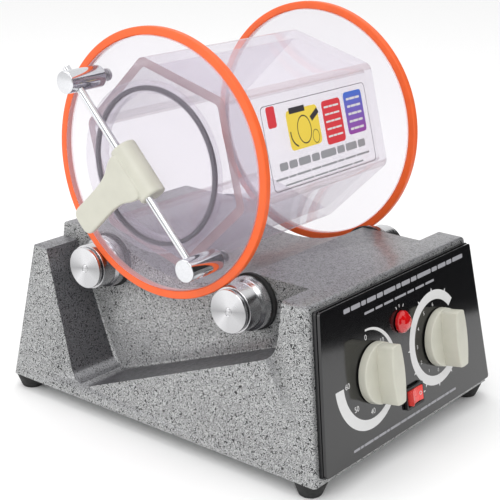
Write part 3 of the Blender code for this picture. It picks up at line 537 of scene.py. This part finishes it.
def number_bm(text, size, x, y):
    """A printed number as a thin mesh, centred at x, y."""
    curve = bpy.data.curves.new("number", "FONT")
    curve.body = text
    curve.size = size
    curve.extrude = PRINT_THICKNESS / 2
    curve.align_x = "CENTER"
    curve.align_y = "CENTER"
    writer = bpy.data.objects.new("number", curve)
    bpy.context.scene.collection.objects.link(writer)
    bpy.context.view_layer.update()
    mesh = bpy.data.meshes.new_from_object(writer.evaluated_get(bpy.context.evaluated_depsgraph_get()))
    bpy.data.objects.remove(writer, do_unlink=True)
    bm = bmesh.new()
    bm.from_mesh(mesh)
    bmesh.ops.translate(bm, verts=bm.verts, vec=(x, y, PRINT_GAP + PRINT_THICKNESS / 2))
    bpy.data.meshes.remove(mesh)
    return bm


def polar(centre, radius, degrees):
    angle = math.radians(degrees)
    return centre[0] + radius * math.cos(angle), centre[1] + radius * math.sin(angle)


def tick(centre, inner, outer, degrees, half_inner, half_outer):
    angle = math.radians(degrees)
    along = Vector((math.cos(angle), math.sin(angle)))
    across = Vector((-along.y, along.x))
    middle = Vector(centre)
    return [middle + along * inner - across * half_inner, middle + along * outer - across * half_outer,
            middle + along * outer + across * half_outer, middle + along * inner + across * half_inner]


def dashes(x0, x1, y, height, pattern):
    """A row of short strokes that stands where lettering would be. The pattern lists their lengths."""
    outlines = []
    total = sum(pattern) + 0.35 * (len(pattern) - 1)
    unit = (x1 - x0) / total
    at = x0
    for length in pattern:
        outlines.append(rectangle(at, y - height / 2, at + length * unit, y + height / 2, height * 0.3))
        at += (length + 0.35) * unit
    return outlines


def make_prints():
    """Dial bands, ticks and numbers, marks about the lamp, and strokes in place of lettering."""
    face = AT_PANEL @ Matrix.Translation((0, 0, PANEL_FRONT))
    band = arc_band(lambda s: 0.0290, lambda s: 0.0302 + 0.0078 * s, 90, -180)
    print_on("print_timer_band", [shifted(band, *TIMER_DIAL)], "white_ink", "base", face)
    band = arc_band(lambda s: 0.0266, lambda s: 0.0332, 318, 40, 120)
    ticks = [shifted(band, *SPEED_DIAL)]
    for degrees in range(60, 301, 30):
        ticks.append(tick(SPEED_DIAL, 0.0330, 0.0352, degrees, 0.0009, 0.0001))
    print_on("print_speed_band", ticks, "white_ink", "base", face)
    numbers = []
    timer_numbers = (("0", 90), ("10", 45), ("20", 0), ("30", -45), ("40", -90), ("50", -135), ("60", 180))
    for text, degrees in timer_numbers:
        x, y = polar(TIMER_DIAL, 0.0248, degrees)
        numbers.append(number_bm(text, 0.0052, x, y))
    for k, degrees in enumerate(range(270, 89, -30)):
        x, y = polar(SPEED_DIAL, 0.0235, degrees)
        numbers.append(number_bm(str(k), 0.0036, x, y))
    add_piece("print_numbers", merge_bm(*numbers), "white_ink", "base", face)
    marks = [tick(LAMP_MARKS, 0.0098, 0.0118, degrees, 0.0003, 0.0003) for degrees in (112, 92, 66)]
    marks.append([(0.0144, 0.0225), (0.0176, 0.0232), (0.0144, 0.0239)])
    print_on("print_marks", marks, "white_ink", "base", face)
    rows = dashes(-0.067, 0.080, 0.1028, 0.0030, [2, 3, 1.5, 3, 2, 4, 1.5, 3, 2, 5, 2, 3, 2, 4])
    rows += dashes(-0.045, 0.040, 0.0955, 0.0016, [2, 1.5, 2, 2.5, 1.5, 2, 2])
    rows += dashes(-0.072, 0.056, 0.0120, 0.0017, [4, 2, 6, 3, 5, 2, 7, 4, 6, 3, 5, 2, 4, 6, 3, 5])
    print_on("print_dashes", rows, "grey_ink", "base", face)


def make_lamp():
    """The lens, cut in flat facets."""
    place = AT_PANEL @ Matrix.Translation((*LAMP_PLACE, 0)) @ X_TO_Z
    profile = [(0.0063, 0.0), (0.0063, 0.0077), (0.0084, 0.0077), (0.0100, 0.0062), (0.0117, 0.0043),
               (0.0123, 0.0)]
    facets = 12
    bm = lathe_bm(profile, facets)
    edges = [edge for edge in bm.edges if edge.calc_length() > 0.001 and len(edge.link_faces) == 2]
    bmesh.ops.bevel(bm, geom=edges, offset=0.00018, segments=2, profile=0.5, affect="EDGES",
                    clamp_overlap=True)
    add_piece("lamp_lens_faceted", bm, "red_lens", "base", place, ["lamp_lens"], sharp=14)


def make_switch():
    """The frame keeps its CAD shape; the rocker is a cap with a dip, and a ring and a bar on its ends."""
    place = AT_PANEL @ Matrix.Translation((*SWITCH_PLACE, 0))
    dress("switch_frame", 0.00035)
    reach = ROCKER_REACH
    outline = [(-reach, 0.0012), (-0.0045, -0.0028), (0.0045, -0.0028), (reach, 0.0012),
               (reach - 0.0002, 0.0076), (0.0035, 0.0062), (0, 0.0059), (-0.0035, 0.0062),
               (-reach + 0.0002, 0.0076)]
    bm = prism_bm(outline, -0.0052, 0.0052, 0.00035)
    pivot = place @ Matrix.Translation((0, 0, SWITCH_PIVOT)) @ Matrix.Rotation(ROCKER_TILT, 4, "Y")
    add_piece("switch_rocker_cap", bm, "red_plastic", "rocker", pivot @ XY_TO_XZ, ["switch_rocker"])
    mark_x, mark_z, slope = 0.0054, 0.00694, math.radians(17.2)
    face = pivot @ Matrix.Translation((mark_x, 0, mark_z)) @ Matrix.Rotation(-slope, 4, "Y")
    ring = arc_band(lambda s: 0.0009, lambda s: 0.0013, 0, ALMOST_ROUND, 32)
    print_on("print_switch_ring", [ring], "white_ink", "rocker", face)
    face = pivot @ Matrix.Translation((-mark_x, 0, mark_z)) @ Matrix.Rotation(slope, 4, "Y")
    print_on("print_switch_bar", [rectangle(-0.0003, -0.0018, 0.0003, 0.0018)], "white_ink", "rocker", face)


# ---------------------------------------------------------------- rollers
def knurl_tooth_bm():
    """One fine straight ridge of the grip band behind a spool's groove."""
    outline = [(0.01790, -0.00042), (0.01818, 0.0), (0.01790, 0.00042)]
    bm = prism_bm(outline, 0.0703, 0.0757)
    bm.transform(Z_TO_X)
    return bm


def make_rollers():
    """Four turned spools, each with a knurled band and a rubber washer behind it."""
    for roller, y in (("drive", -ROLLER_OFFSET_Y), ("idler", ROLLER_OFFSET_Y)):
        for tag, side in (("lid_side", -1), ("rear_side", 1)):
            place = AT_CENTRE @ Matrix.Translation((0, BARREL_Y + y, ROLLER_Z))
            if side < 0:
                place = place @ Matrix.Rotation(math.pi, 4, "Z")
            spool = [(0.0933, 0.0), (0.0933, 0.0020), (0.0929, 0.0026), (0.0933, 0.0032),
                     (0.0933, 0.0146), (0.0908, 0.0146), (0.0908, 0.0130), (0.0897, 0.0130),
                     (0.0897, 0.0157), (0.0788, 0.0157), (0.0764, 0.0180), (0.0695, 0.0180),
                     (0.0695, 0.0053)]
            name = "%s_spool_%s" % (roller, tag)
            add_piece(name + "_turned", lathe_bm(soften(spool, 0.0004), 128), "bright_steel",
                      roller + "_roller", place, [name])
            knurl = merge_bm(*[(knurl_tooth_bm(), Matrix.Rotation(k * math.tau / KNURL_TEETH, 4, "X"))
                               for k in range(KNURL_TEETH)])
            add_piece(name + "_knurl", knurl, "bright_steel", roller + "_roller", place)
            washer = [(0.0664, 0.0059), (0.0664, 0.0195), (0.0692, 0.0195), (0.0692, 0.0059)]
            name = "%s_washer_%s" % (roller, tag)
            add_piece(name + "_disc", lathe_bm(soften(washer, 0.0005, 3, True), 96, True), "black_rubber",
                      "base", place, [name])


# ---------------------------------------------------------------- barrel
def hexagon(radius, corner):
    angles = [HEX_TURN + k * math.tau / 6 for k in range(6)]
    points = [(radius * math.cos(angle), radius * math.sin(angle)) for angle in angles]
    return soften(points, corner, 8, True)


def hex_tube_bm(outer, inner, half):
    bm = bmesh.new()
    loops = [[bm.verts.new((x, a, b)) for a, b in outline]
             for outline in (outer, inner) for x in (-half, half)]
    outer_low, outer_high, inner_low, inner_high = loops
    count = len(outer)
    for i in range(count):
        j = (i + 1) % count
        bm.faces.new((outer_low[i], outer_low[j], outer_high[j], outer_high[i]))
        bm.faces.new((inner_low[j], inner_low[i], inner_high[i], inner_high[j]))
        bm.faces.new((outer_high[i], outer_high[j], inner_high[j], inner_high[i]))
        bm.faces.new((outer_low[j], outer_low[i], inner_low[i], inner_low[j]))
    return bm


def second_finish(piece, mat, belongs):
    """Gives the faces that belong one more material."""
    piece.data.materials.append(MATS[mat])
    last = len(piece.data.materials) - 1
    for face in piece.data.polygons:
        if belongs(face):
            face.material_index = last


def at_hexagon_corner(face):
    """True on the rounded corners of the hexagonal tube, between its flat sides."""
    off_flat = (math.degrees(math.atan2(face.normal.z, face.normal.y)) - 45) % 60
    return abs(face.normal.x) < 0.1 and 4 < off_flat < 56


def at_rim(face):
    return abs(face.normal.x) < 0.7 and math.hypot(face.center.y, face.center.z) > FLANGE_RADIUS - 0.001


def make_barrel():
    """Hexagonal tube, the two flange discs with their rubber rings, and the lid with its seal."""
    inner = HEX_CORNER_RADIUS - HEX_WALL / math.cos(math.pi / 6)
    tube = hex_tube_bm(hexagon(HEX_CORNER_RADIUS, 0.0045), hexagon(inner, 0.0022), FLANGE_INNER - 0.0004)
    tube = add_piece("barrel_tube", tube, "clear_acrylic", "barrel", AT_BARREL, ["barrel_shell"])
    # The cut ends take the pinkish-brown sheet: partly the thick edge, partly a painted reflection of the
    # orange rings.
    second_finish(tube, "acrylic_edge_painted_reflection", lambda face: face.normal.x < -0.9)
    # The rounded corners take the denser pinkish sheet: a painted reflection.
    second_finish(tube, "acrylic_corner_painted_reflection", at_hexagon_corner)
    opening = 0.0485
    front = [(-FLANGE_OUTER, opening), (-FLANGE_OUTER, FLANGE_RADIUS), (-FLANGE_INNER, FLANGE_RADIUS),
             (-FLANGE_INNER, opening)]
    disc = add_piece("front_flange_disc", lathe_bm(soften(front, 0.0004, 2, True), 180, True),
                     "clear_acrylic", "barrel", AT_BARREL, ["front_flange"])
    # The rim takes the pale pink sheet: a painted reflection of the orange ring.
    second_finish(disc, "acrylic_rim_painted_reflection", at_rim)
    rear = [(FLANGE_OUTER, 0.0), (FLANGE_OUTER, FLANGE_RADIUS), (FLANGE_INNER, FLANGE_RADIUS),
            (FLANGE_INNER, 0.0)]
    disc = add_piece("rear_flange_disc", lathe_bm(soften(rear, 0.0004, 2), 180), "clear_acrylic",
                     "barrel", AT_BARREL, ["rear_flange"])
    # The rim takes the pale pink sheet: a painted reflection of the orange ring.
    second_finish(disc, "acrylic_rim_painted_reflection", at_rim)
    for name, place in (("front_ring", -0.0855), ("rear_ring", 0.0855)):
        section = [(place - 0.0025, 0.0843), (place + 0.0025, 0.0843), (place + 0.0025, 0.0898),
                   (place - 0.0025, 0.0898)]
        add_piece(name + "_band", lathe_bm(soften(section, 0.0011, 5, True), 220, True), "orange_rubber",
                  "barrel", AT_BARREL, [name])
    face = -FLANGE_OUTER - 0.0003
    lid = [(-0.0968, 0.0), (-0.0968, 0.0565), (face, 0.0565), (face, 0.0532), (-0.0922, 0.0532),
           (-0.0922, 0.0494), (face, 0.0494), (face, 0.0475), (-0.0835, 0.0475), (-0.0835, 0.0)]
    add_piece("lid_disc", lathe_bm(soften(lid, 0.0006), 180), "clear_acrylic", "barrel", AT_BARREL, ["lid"])
    seal = [(-0.0919, 0.0497), (-0.0919, 0.0529), (face, 0.0529), (face, 0.0497)]
    add_piece("lid_seal_ring", lathe_bm(soften(seal, 0.0013, 5, True), 160, True), "grey_rubber",
              "barrel", AT_BARREL, ["lid_seal"])


def bake(piece, sharp=None):
    """Turns a piece's modifiers into its own mesh."""
    bpy.context.view_layer.update()
    evaluated = piece.evaluated_get(bpy.context.evaluated_depsgraph_get())
    mesh = bpy.data.meshes.new_from_object(evaluated)
    piece.modifiers.clear()
    old = piece.data
    piece.data = mesh
    bpy.data.meshes.remove(old)
    mesh.shade_smooth()
    if sharp is not None:
        mesh.set_sharp_from_angle(angle=math.radians(sharp))


def cut_rod_hole(piece, name, place):
    """Drills a post across its axis, for the cross rod."""
    radius, half_length = 0.0029, 0.02
    hole = bpy.data.objects.new(name, bpy.data.meshes.new(name))
    bm = lathe_bm([(-half_length, 0.0), (-half_length, radius), (half_length, radius),
                   (half_length, 0.0)], 40)
    bmesh.ops.recalc_face_normals(bm, faces=bm.faces)
    bm.to_mesh(hole.data)
    bm.free()
    bpy.context.scene.collection.objects.link(hole)
    hole.matrix_world = place @ Matrix.Translation((ROD_X, 0, 0)) @ ALONG_ROD @ X_TO_Z
    bpy.context.view_layer.update()
    step = piece.modifiers.new("hole", "BOOLEAN")
    step.object = hole
    step.solver = "EXACT"
    step.operation = "DIFFERENCE"
    bake(piece, 30)
    bpy.data.objects.remove(hole, do_unlink=True)


def make_clamp():
    """The two posts on the front flange and the rod that crosses them."""
    for name, sign in (("upper", 1), ("lower", -1)):
        reach = sign * CLAMP_POST_RADIUS
        place = AT_BARREL @ Matrix.Translation((0, reach * math.cos(CLAMP_ANGLE),
                                                reach * math.sin(CLAMP_ANGLE)))
        post = [(-0.1195, 0.0), (-0.1195, 0.0075), (-0.0888, 0.0075), (-0.0888, 0.0025),
                (-0.0990, 0.0025), (-0.0990, 0.0)]
        piece = add_piece("clamp_post_%s_turned" % name, lathe_bm(soften(post, 0.0008, 4), 72), "chrome",
                          "barrel", place, ["clamp_post_" + name])
        cut_rod_hole(piece, "post_hole_" + name, place)
    rod = [(-0.0800, 0.0), (-0.0800, ROD_RADIUS), (0.0840, ROD_RADIUS), (0.0840, 0.0)]
    add_piece("cross_rod_bar", lathe_bm(soften(rod, 0.0007, 4), 48), "chrome", "rod", AT_ROD @ X_TO_Z,
              ["cross_rod"])


def make_lever():
    """Cam and lever in one moulding: the joined solids are remeshed so that they flow together."""
    cam = [(-0.0195, 0.0), (-0.0195, 0.0089), (0.0195, 0.0089), (0.0195, 0.0)]
    cam = lathe_bm(soften(cam, 0.0016, 5), 96)
    half = [(0.0, 0.0170), (0.0090, 0.0158), (0.0165, 0.0115), (0.0260, 0.0097), (0.0450, 0.0096),
            (0.0608, 0.0100)]
    outline = soften([(along, -wide) for along, wide in half] + half[::-1], 0.0072, 6, True)
    lever = prism_bm(outline, -0.0064, -0.0016, 0.0012)
    bm = merge_bm((cam, Matrix.Translation((0.0045, 0, 0)) @ X_TO_Z), (lever, XY_TO_YZ))
    piece = add_piece("cam_lever_moulding", bm, "ivory_plastic", "cam", AT_ROD, ["cam_lever"])
    remesh = piece.modifiers.new("one_skin", "REMESH")
    remesh.mode = "VOXEL"
    remesh.voxel_size = 0.0005
    smooth = piece.modifiers.new("flow", "SMOOTH")
    smooth.factor = 0.5
    smooth.iterations = 6
    bake(piece)


# ---------------------------------------------------------------- label on the barrel
def make_label():
    """Plain colour blocks and strokes on one flat side, in place of the real label's wording."""
    up = Vector((0, math.sin(LABEL_ANGLE), -math.cos(LABEL_ANGLE)))
    out = Vector((0, math.cos(LABEL_ANGLE), math.sin(LABEL_ANGLE)))
    axes = Matrix((Vector((1, 0, 0)), up, out)).transposed().to_4x4()
    place = Matrix.Translation(BARREL_PLACE + out * LABEL_OUT) @ axes
    edge = rectangle(-0.0495, -0.031, 0.0694, 0.025, 0.004)
    inner = rectangle(-0.0491, -0.0306, 0.0690, 0.0246, 0.0037)
    print_on("label_edge", [edge + [edge[0]] + [inner[0]] + inner[::-1]], "dark_ink", "barrel", place)
    lift = place @ Matrix.Translation((0, 0, PRINT_LIFT))
    print_on("label_yellow", [rectangle(-0.0245, -0.008, 0.0105, 0.0185, 0.004)], "yellow_ink", "barrel",
             lift)
    print_on("label_red", [rectangle(0.0157, -0.011, 0.0375, 0.019, 0.003),
                           rectangle(-0.0440, 0.010, -0.0350, 0.024, 0.002)], "red_ink", "barrel", lift)
    violet = Shader("violet_ink", srgb(96, 96, 190), 0.45)
    gradient = violet.node("ShaderNodeSeparateXYZ")
    violet.link(violet.place(), gradient.inputs["Vector"])
    tone = violet.node("ShaderNodeMapRange")
    violet_low, violet_high = -0.0085, 0.021
    tone.inputs["From Min"].default_value = violet_low
    tone.inputs["From Max"].default_value = violet_high
    violet.link(gradient.outputs["Y"], tone.inputs["Value"])
    violet.color_from(violet.ramp(tone.outputs["Result"], (0.0, srgb(150, 70, 160)),
                                  (1.0, srgb(60, 110, 205))))
    print_on("label_violet", [rectangle(0.042, violet_low, 0.064, violet_high, 0.003)], violet.mat,
             "barrel", lift)
    top = place @ Matrix.Translation((0, 0, PRINT_TOP_LIFT))
    squeeze = 0.8
    egg = arc_band(lambda s: 0.0088, lambda s: 0.0096, 0, ALMOST_ROUND, 48)
    egg = [(x * squeeze - 0.007, y + 0.004) for x, y in egg]
    small = arc_band(lambda s: 0.0042, lambda s: 0.0047, 0, ALMOST_ROUND, 32)
    small = [(x * squeeze + 0.0045, y - 0.0025) for x, y in small]
    sweep = arc_band(lambda s: 0.0088, lambda s: 0.0098, 170, 250, 24)
    sweep = [(x - 0.0130, y + 0.0030) for x, y in sweep]
    tilt = Matrix.Rotation(math.radians(28), 2)
    tag = rectangle(-0.0050, -0.0019, 0.0050, 0.0019)
    tag = [tilt @ Vector(corner) + Vector((0.0062, 0.0120)) for corner in tag]
    dark = [egg, small, sweep, tag, rectangle(-0.0205, 0.0160, -0.0035, 0.0200)]
    print_on("label_dark_marks", dark, "dark_ink", "barrel", top)
    white = []
    for k in range(5):
        white += dashes(0.045, 0.061, 0.016 - 0.0052 * k, 0.0016, [3, 5, 4])
        white += dashes(0.018, 0.035, 0.0145 - 0.0050 * k, 0.0013, [4, 3, 5])
    print_on("label_white_rows", white, "white_ink", "barrel", top)
    grey = dashes(-0.040, 0.059, -0.016, 0.0052, [2, 2, 3, 2, 4, 2, 3, 2])
    grey += dashes(-0.046, 0.062, -0.0235, 0.0014, [5, 3, 6, 4, 7, 3, 5, 6])
    grey += dashes(-0.037, 0.053, -0.0283, 0.0012, [6, 4, 5, 3, 6, 4])
    print_on("label_grey_rows", grey, "grey_ink", "barrel", lift)


# ---------------------------------------------------------------- camera, light and floor
def look(location, target):
    return (Vector(target) - Vector(location)).to_track_quat("-Z", "Y").to_matrix().to_4x4()


def add_light(name, location, target, size, power):
    data = bpy.data.lights.new(name, "AREA")
    data.shape = "RECTANGLE"
    data.size, data.size_y = size
    data.energy = power
    lamp = bpy.data.objects.new(name, data)
    bpy.context.scene.collection.objects.link(lamp)
    lamp.matrix_world = Matrix.Translation(location) @ look(location, target)


def add_card(name, corners, mat):
    mesh = bpy.data.meshes.new(name)
    mesh.from_pydata(corners, [], [(0, 1, 2, 3)])
    mesh.materials.append(mat)
    card = bpy.data.objects.new(name, mesh)
    bpy.context.scene.collection.objects.link(card)
    return card


def only_in_reflections(card):
    """The card shapes what shiny pieces reflect. It isn't seen itself, and takes no light away."""
    card.visible_camera = False
    card.visible_diffuse = False
    card.visible_shadow = False


def add_upright_card(name, middle, across, low, high, mat):
    """A dark upright card, only seen in reflections."""
    corners = [middle - across + Vector((0, 0, low)), middle + across + Vector((0, 0, low)),
               middle + across + Vector((0, 0, high)), middle - across + Vector((0, 0, high))]
    only_in_reflections(add_card(name, corners, mat))


def make_studio():
    """White surroundings, a pale floor, three soft lights and four dark cards for the reflections."""
    world = bpy.data.worlds.new("studio")
    bpy.context.scene.world = world
    world.use_nodes = True
    world.node_tree.nodes["Background"].inputs["Color"].default_value = (1, 1, 1, 1)
    world.node_tree.nodes["Background"].inputs["Strength"].default_value = 0.95
    bpy.context.scene.view_settings.view_transform = "Standard"
    floor = Shader("floor_paper", (0.94, 0.94, 0.94, 1), 0.85)
    far = 6.0
    add_card("floor", [(-far, -far, 0), (far, -far, 0), (far, far, 0), (-far, far, 0)], floor.mat)
    flag = Shader("flag_cloth", (0.012, 0.012, 0.012, 1), 0.9).mat
    # The flag stands where the control panel, as a mirror, sends the camera's view.
    toward = Vector((0.7343, -0.6685, 0)).normalized()
    middle = Vector((0.0, -0.12, 0.0)) + toward * 0.42
    add_upright_card("flag", middle, Vector((-toward.y, toward.x, 0)) * 0.6, 0.004, 0.55, flag)
    for name, middle, half_width, low, high in (("strip_left", Vector((-1.5, 0.45, 0)), 0.16, 0.05, 1.3),
                                                ("strip_behind", Vector((-0.9, -1.25, 0)), 0.20, 0.10, 1.5)):
        across = Vector((-middle.y, middle.x, 0)).normalized() * half_width
        add_upright_card(name, middle, across, low, high, flag)
    overhead = add_card("strip_above", [(-0.9, -0.95, 1.25), (0.1, -0.95, 1.25), (0.1, -1.35, 0.75),
                                        (-0.9, -1.35, 0.75)], flag)
    only_in_reflections(overhead)
    add_light("key", (-1.2, -0.5, 1.3), (0, 0, 0.1), (1.1, 0.9), 8.0)
    add_light("top", (0.1, 0.4, 1.7), (0, 0, 0.1), (1.4, 1.0), 7.0)
    add_light("side", (-1.3, 0.9, 0.6), (0, 0, 0.12), (0.7, 0.7), 2.0)


CAMERA_PLACE = (-0.66916, -0.52287, 0.39295)
CAMERA_YAW = math.radians(-51.39)
CAMERA_PITCH = math.radians(20.0)
CAMERA_ROLL = math.radians(0.78)
CAMERA_LENS = 90.58
CAMERA_SHIFT = (0.0151, 0.0744)


def make_camera():
    level = math.cos(CAMERA_PITCH)
    back = Vector((math.sin(CAMERA_YAW) * level, -math.cos(CAMERA_YAW) * level, math.sin(CAMERA_PITCH)))
    right = Vector((math.cos(CAMERA_YAW), math.sin(CAMERA_YAW), 0))
    up = back.cross(right)
    turned_right = right * math.cos(CAMERA_ROLL) + up * math.sin(CAMERA_ROLL)
    turned_up = up * math.cos(CAMERA_ROLL) - right * math.sin(CAMERA_ROLL)
    data = bpy.data.cameras.new("camera")
    data.lens = CAMERA_LENS
    data.sensor_width = 36.0
    data.shift_x, data.shift_y = CAMERA_SHIFT
    data.clip_start, data.clip_end = 0.05, 50.0
    camera = bpy.data.objects.new("camera", data)
    bpy.context.scene.collection.objects.link(camera)
    axes = Matrix((turned_right, turned_up, back)).transposed().to_4x4()
    camera.matrix_world = Matrix.Translation(CAMERA_PLACE) @ axes
    bpy.context.scene.camera = camera


# ---------------------------------------------------------------- everything
def main():
    make_housing()
    make_feet()
    make_knob("timer_knob", -KNOB_X, "timer")
    make_knob("speed_knob", KNOB_X, "speed")
    make_prints()
    make_lamp()
    make_switch()
    make_rollers()
    make_barrel()
    make_clamp()
    make_lever()
    make_label()
    for node in frame["nodes"]:
        if not frame["nodes"][node].hide_render and node != "switch_frame":
            dress(node, 0.0004 if node.startswith("panel") else 0.0002)
    make_studio()
    make_camera()


main()
